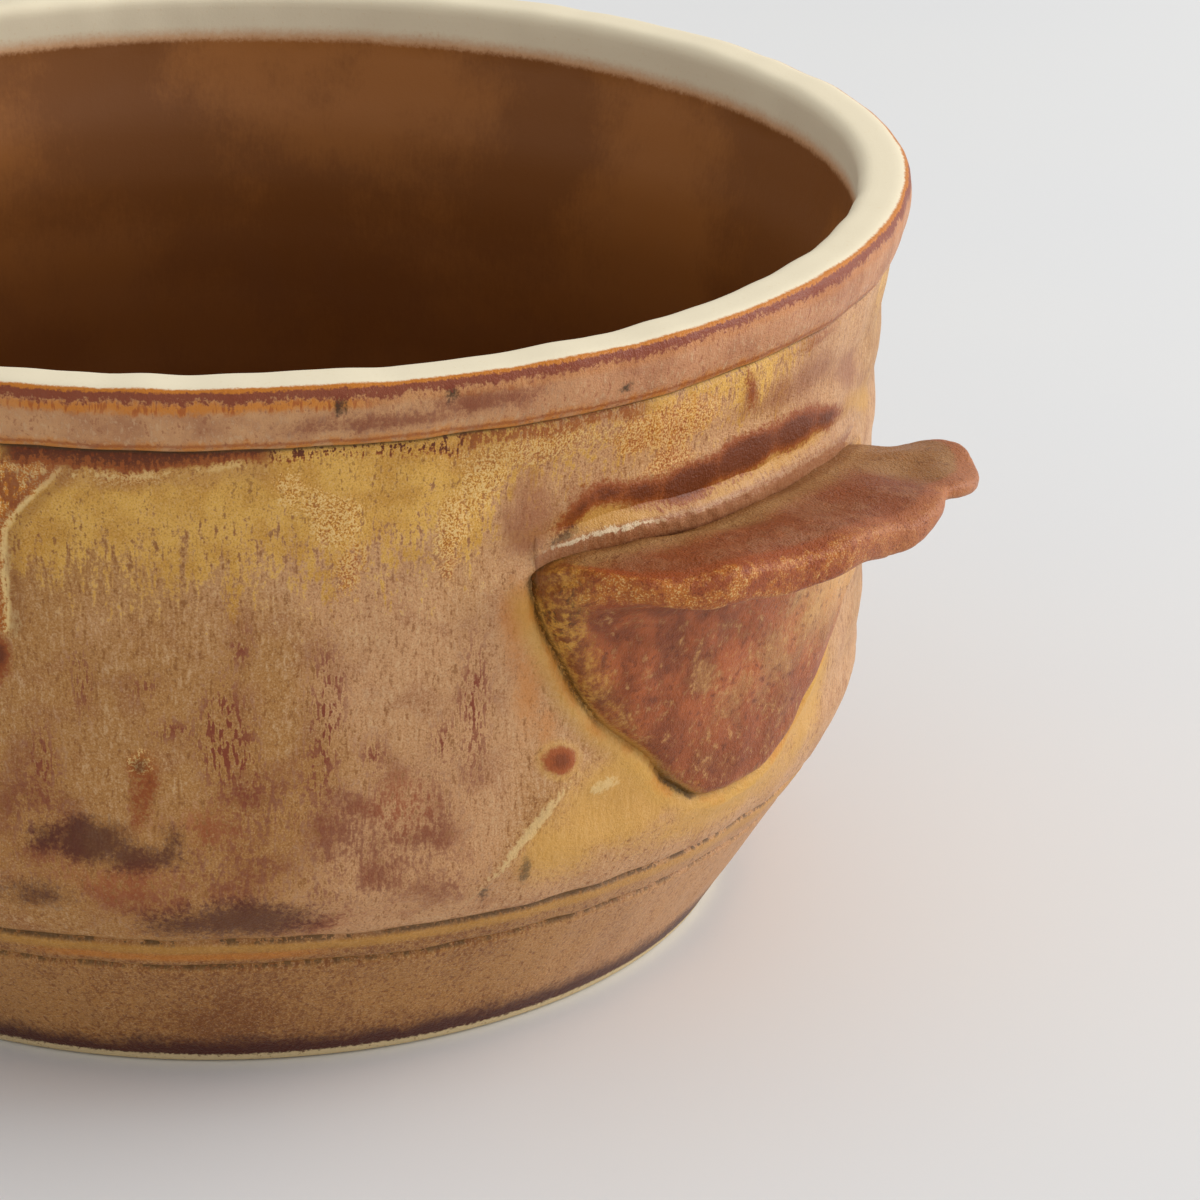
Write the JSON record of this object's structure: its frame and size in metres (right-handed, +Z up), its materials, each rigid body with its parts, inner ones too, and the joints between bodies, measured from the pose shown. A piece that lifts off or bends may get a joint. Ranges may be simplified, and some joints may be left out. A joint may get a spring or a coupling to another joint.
{
  "type": "stoneware bowl",
  "caption": "Thrown stoneware bowl with an upright wall, raised rim band, conical foot and a pair of folded clay lugs for lifting; glazed in mottled ochre and brown.",
  "frame": {"origin": "centre of the foot, on the surface that the bowl stands on", "axes": "+Z up along the bowl's axis, +X out through the middle of the right lug, +Y towards the side"},
  "size_m": [0.1502, 0.1306, 0.0714],
  "materials": {
    "body_glaze": "satin mottled ochre and mauve-brown glaze, bare cream clay at rim and foot",
    "lug_glaze": "satin red-brown glaze breaking to speckled orange on the edges",
    "seam_glaze": "satin ochre glaze with a brown line along its upper edge"
  },
  "bodies": {
    "root": {"bowl_body": "body_glaze", "right_lug": "lug_glaze", "left_lug": "lug_glaze", "right_seam_coil": "seam_glaze", "left_seam_coil": "seam_glaze"}
  },
  "joints": []
}
